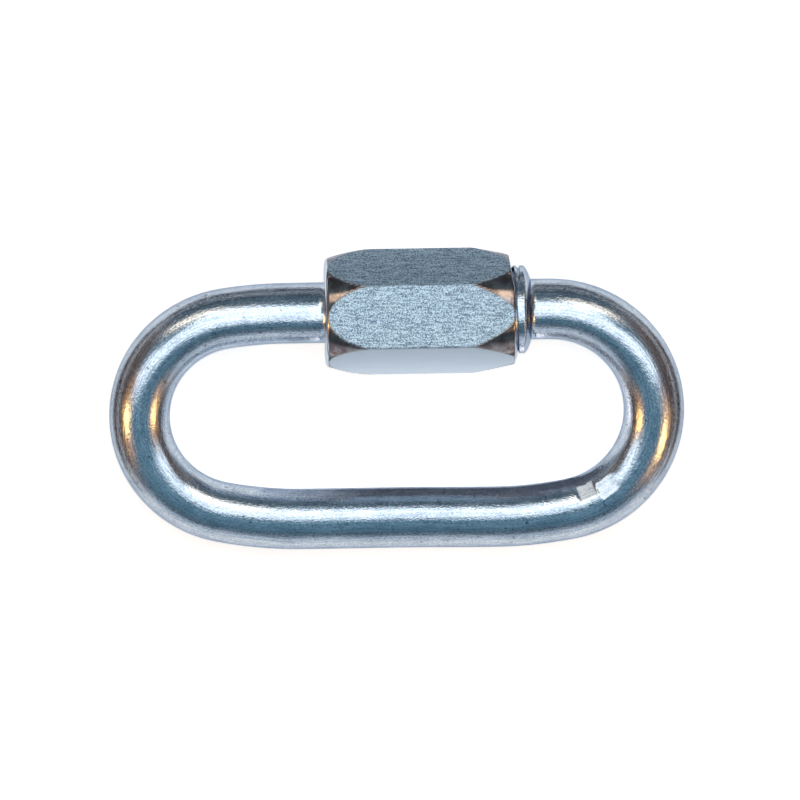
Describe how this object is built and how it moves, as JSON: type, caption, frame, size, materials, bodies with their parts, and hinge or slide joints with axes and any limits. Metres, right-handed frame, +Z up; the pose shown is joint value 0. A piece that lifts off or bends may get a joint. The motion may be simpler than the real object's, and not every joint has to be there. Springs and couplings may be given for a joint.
{
  "type": "chain quick link",
  "caption": "Oval chain quick link of round zinc-plated steel rod, with a long hexagonal threaded sleeve that closes its gate.",
  "frame": {"origin": "on the surface that the link lies on, under the middle of its box", "axes": "+X along the ring, +Y from the closed side of the ring to its gate, +Z up"},
  "size_m": [0.0568, 0.03, 0.0108],
  "materials": {
    "bright_zinc": "bright zinc plate over drawn wire",
    "grained_zinc": "zinc plate over grained bar, smooth on the turned ends"
  },
  "bodies": {
    "link": {"link_body": "bright_zinc"},
    "nut": {"sleeve_nut": "grained_zinc"}
  },
  "joints": [
    {"name": "nut_travel", "type": "slide", "parent": "link", "child": "nut", "axis": [-1, 0, 0], "range_m": [-0.001, 0.012]}
  ]
}
